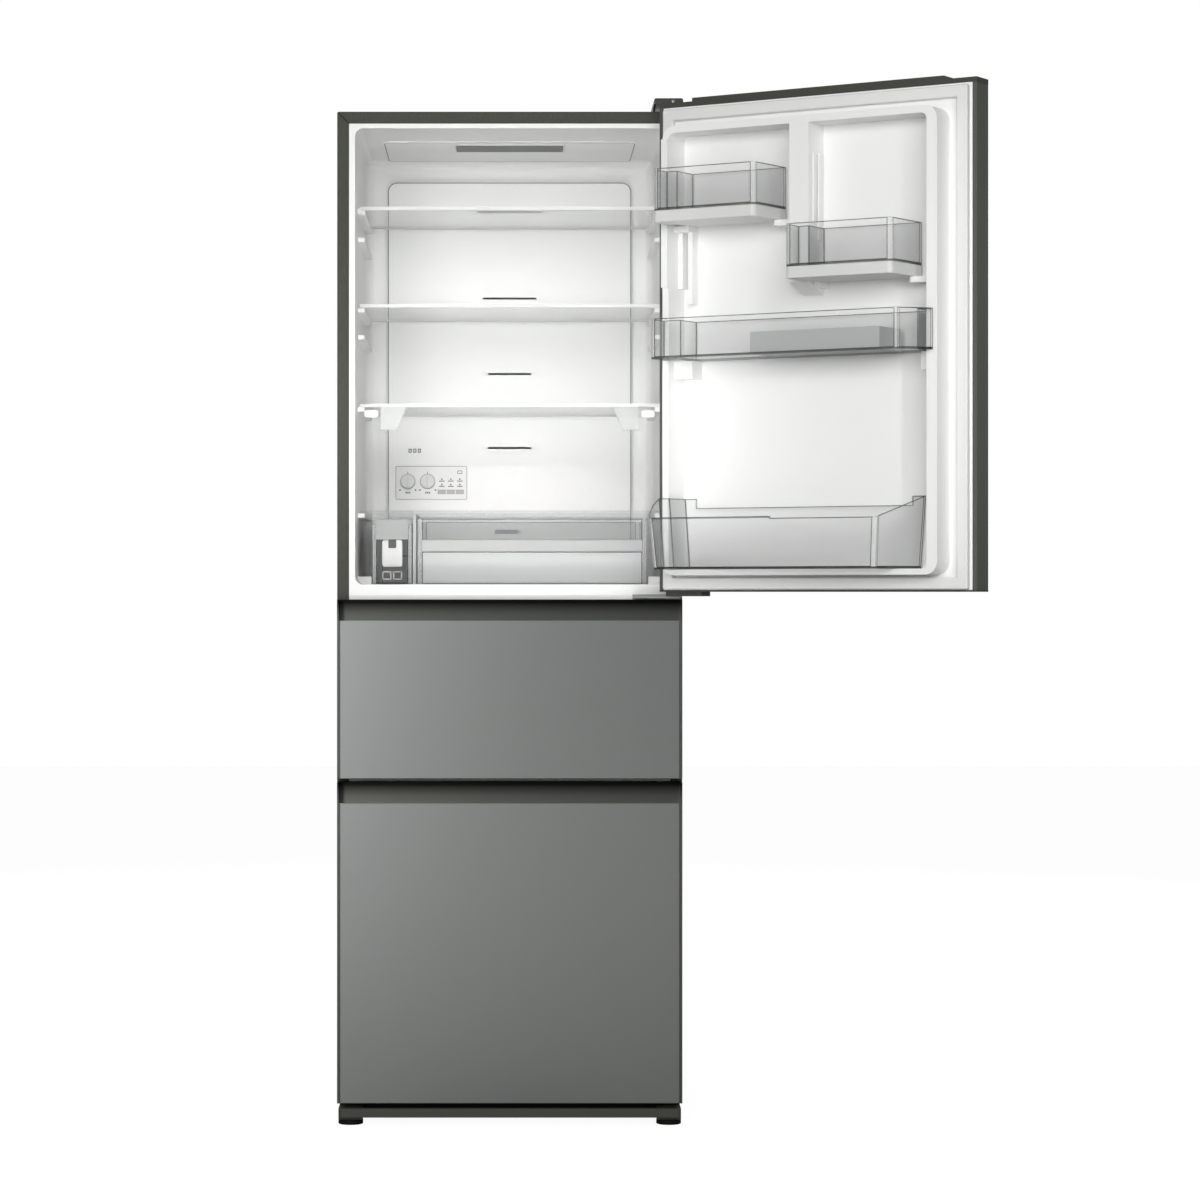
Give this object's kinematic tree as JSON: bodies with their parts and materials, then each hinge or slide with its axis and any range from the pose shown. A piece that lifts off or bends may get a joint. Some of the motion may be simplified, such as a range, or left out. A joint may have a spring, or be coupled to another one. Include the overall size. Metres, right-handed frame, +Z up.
{
  "type": "three-door refrigerator",
  "caption": "Upright refrigerator with a hinged fridge door over two pull-out drawers, glass shelves, door bins, chilled case, water tank and ice maker.",
  "frame": {"origin": "on the floor, under the middle of the cabinet's front face", "axes": "+X to the right seen from the front, -Y towards the user, +Z up; the fridge door stands open and the drawers are shut"},
  "size_m": [1.0851, 1.0073, 1.77],
  "materials": {
    "cabinet_metal": "satin, fine brushed grain",
    "rear_metal": "satin",
    "front_metal": "satin",
    "front_trim": "satin",
    "dark_plastic": "satin",
    "liner_plastic": "satin",
    "control_grey": "satin",
    "white_plastic": "satin",
    "lamp_diffuser": "frosted",
    "shelf_glass": "clear",
    "clear_plastic": "clear",
    "box_plastic": "translucent white",
    "fan_plastic": "matte",
    "zinc_steel": "zinc plated",
    "fin_aluminium": "mill",
    "compressor_black": "gloss black",
    "insulation_foam": "foamed",
    "gasket_rubber": "soft matte",
    "black_rubber": "matte",
    "foot_black": "matte"
  },
  "bodies": {
    "cabinet": {"outer_shell": "cabinet_metal", "rear_panel": "rear_metal", "base_tray": "zinc_steel", "cabinet_foam": "insulation_foam", "fridge_liner": "liner_plastic", "drawer_liners": "liner_plastic", "duct_panel": "liner_plastic", "control_plate": "control_grey", "lamp_panel": "liner_plastic", "lamp_lens": "lamp_diffuser", "shelves": "shelf_glass", "shelf_trims": "white_plastic", "case_cover": "shelf_glass", "top_hinge": "zinc_steel", "hinge_cover": "dark_plastic", "middle_hinge": "zinc_steel", "hinge_screws": "zinc_steel", "plinth": "dark_plastic", "compressor": "compressor_black", "machine_cover": "rear_metal", "evaporator": "fin_aluminium", "freezer_cover": "liner_plastic", "ice_maker": "white_plastic", "fixed_rails": "zinc_steel", "power_inlet": "black_rubber"},
    "door": {"door_panel": "front_metal", "door_side_trims": "front_trim", "door_caps": "dark_plastic", "door_core": "insulation_foam", "door_liner": "liner_plastic", "door_gasket": "gasket_rubber", "small_bins": "clear_plastic", "small_bin_bases": "white_plastic", "wide_bin": "clear_plastic", "inner_tray": "clear_plastic", "bottle_bin": "clear_plastic"},
    "vegetable_drawer": {"vegetable_front": "front_trim", "vegetable_panel": "front_metal", "vegetable_gasket": "gasket_rubber", "vegetable_box": "box_plastic", "vegetable_rails": "zinc_steel"},
    "vegetable_slides": {"vegetable_slides": "zinc_steel"},
    "freezer_drawer": {"freezer_front": "front_trim", "freezer_panel": "front_metal", "freezer_gasket": "gasket_rubber", "freezer_box": "box_plastic", "freezer_rails": "zinc_steel"},
    "freezer_slides": {"freezer_slides": "zinc_steel"},
    "freezer_tray": {"freezer_tray": "box_plastic"},
    "chilled_case": {"chilled_case": "clear_plastic", "case_handle": "white_plastic"},
    "water_tank": {"water_tank": "clear_plastic", "tank_cap": "white_plastic"},
    "fridge_dial": {"fridge_dial": "white_plastic"},
    "freezer_dial": {"freezer_dial": "white_plastic"},
    "left_foot": {"left_foot": "foot_black"},
    "right_foot": {"right_foot": "foot_black"},
    "rear_rollers": {"rear_rollers": "foot_black"},
    "evaporator_fan": {"evaporator_fan": "fan_plastic"},
    "ice_tray": {"ice_tray": "box_plastic"}
  },
  "joints": [
    {"name": "door_hinge", "type": "hinge", "parent": "cabinet", "child": "door", "pos_m": [0.284, -0.039, 0.919], "axis": [0, 0, 1], "range_deg": [-147.7, 0]},
    {"name": "vegetable_drawer_slide", "type": "slide", "parent": "cabinet", "child": "vegetable_drawer", "axis": [0, -1, 0], "range_m": [0, 0.38]},
    {"name": "vegetable_rail_slide", "type": "slide", "parent": "cabinet", "child": "vegetable_slides", "axis": [0, -1, 0], "range_m": [0, 0.19]},
    {"name": "freezer_drawer_slide", "type": "slide", "parent": "cabinet", "child": "freezer_drawer", "axis": [0, -1, 0], "range_m": [0, 0.34]},
    {"name": "freezer_rail_slide", "type": "slide", "parent": "cabinet", "child": "freezer_slides", "axis": [0, -1, 0], "range_m": [0, 0.17]},
    {"name": "freezer_tray_slide", "type": "slide", "parent": "freezer_drawer", "child": "freezer_tray", "axis": [0, 1, 0], "range_m": [0, 0.1]},
    {"name": "chilled_case_slide", "type": "slide", "parent": "cabinet", "child": "chilled_case", "axis": [0, -1, 0], "range_m": [0, 0.18]},
    {"name": "water_tank_slide", "type": "slide", "parent": "cabinet", "child": "water_tank", "axis": [0, -1, 0], "range_m": [0, 0.15]},
    {"name": "fridge_dial_turn", "type": "hinge", "parent": "cabinet", "child": "fridge_dial", "pos_m": [-0.19, 0.435, 1.12501], "axis": [0, -1, 0], "range_deg": [-135, 135]},
    {"name": "freezer_dial_turn", "type": "hinge", "parent": "cabinet", "child": "freezer_dial", "pos_m": [-0.153, 0.435, 1.12501], "axis": [0, -1, 0], "range_deg": [-135, 135]},
    {"name": "left_foot_turn", "type": "hinge", "parent": "cabinet", "child": "left_foot", "pos_m": [-0.2748, -0.032, 0], "axis": [0, 0, 1], "continuous": true},
    {"name": "right_foot_turn", "type": "hinge", "parent": "cabinet", "child": "right_foot", "pos_m": [0.2748, -0.032, 0], "axis": [0, 0, 1], "continuous": true},
    {"name": "rear_rollers_turn", "type": "hinge", "parent": "cabinet", "child": "rear_rollers", "pos_m": [0, 0.55, 0.014], "axis": [1, 0, 0], "continuous": true},
    {"name": "evaporator_fan_turn", "type": "hinge", "parent": "cabinet", "child": "evaporator_fan", "pos_m": [0, 0.41925, 0.505], "axis": [0, -1, 0], "continuous": true},
    {"name": "ice_tray_turn", "type": "hinge", "parent": "cabinet", "child": "ice_tray", "pos_m": [-0.19, 0.09, 0.51535], "axis": [0, -1, 0], "range_deg": [0, 150]}
  ],
  "couplings": [
    {"joint": "vegetable_rail_slide", "follows": "vegetable_drawer_slide", "ratio": 0.5},
    {"joint": "freezer_rail_slide", "follows": "freezer_drawer_slide", "ratio": 0.5}
  ]
}
